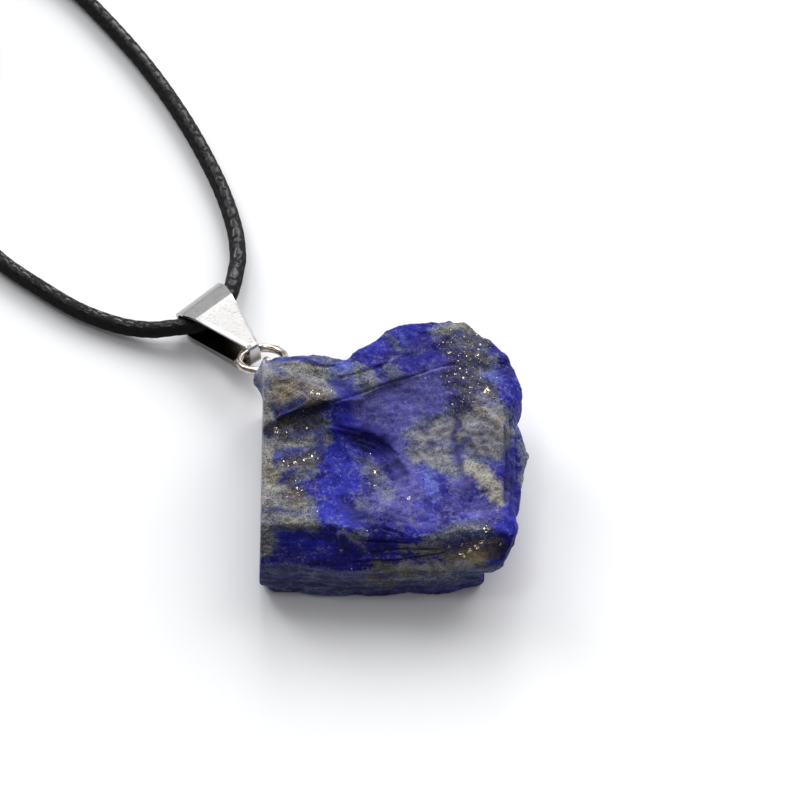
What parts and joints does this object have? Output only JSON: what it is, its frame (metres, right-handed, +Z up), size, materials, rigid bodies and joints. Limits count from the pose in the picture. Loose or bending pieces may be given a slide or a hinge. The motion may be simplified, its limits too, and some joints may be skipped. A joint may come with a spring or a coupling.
{
  "type": "raw lapis lazuli stone pendant on a braided cord",
  "caption": "Rough block of lapis lazuli with a sawn side and a flat underside, hung by an eye pin and a jump ring from a folded metal bail on a waxed cord.",
  "frame": {"origin": "middle of the stone and its metal findings, at the height of the surface they lie on", "axes": "+Z up from the surface, +X along the stone's front wall away from its sawn side, +Y from the front wall to the bail's side"},
  "size_m": [0.085, 0.0866, 0.0114],
  "materials": {
    "lapis": "satin",
    "polished_steel": "gloss",
    "plated_wire": "gloss",
    "waxed_cord": "satin"
  },
  "bodies": {
    "hanger": {"bail": "polished_steel", "cord": "waxed_cord", "cord_coil": "waxed_cord", "cord_knot": "waxed_cord"},
    "ring": {"jump_ring": "plated_wire"},
    "stone": {"stone": "lapis", "eye_pin": "plated_wire"}
  },
  "joints": [
    {"name": "ring_in_bail", "type": "hinge", "parent": "hanger", "child": "ring", "pos_m": [-0.01053, 0.00951, 0.0031], "axis": [-0.7961, -0.6051, 0], "range_deg": [0, 40]},
    {"name": "eye_on_ring", "type": "hinge", "parent": "ring", "child": "stone", "pos_m": [-0.00829, 0.00578, 0.00497], "axis": [-0.9229, -0.385, 0], "range_deg": [0, 60]}
  ]
}
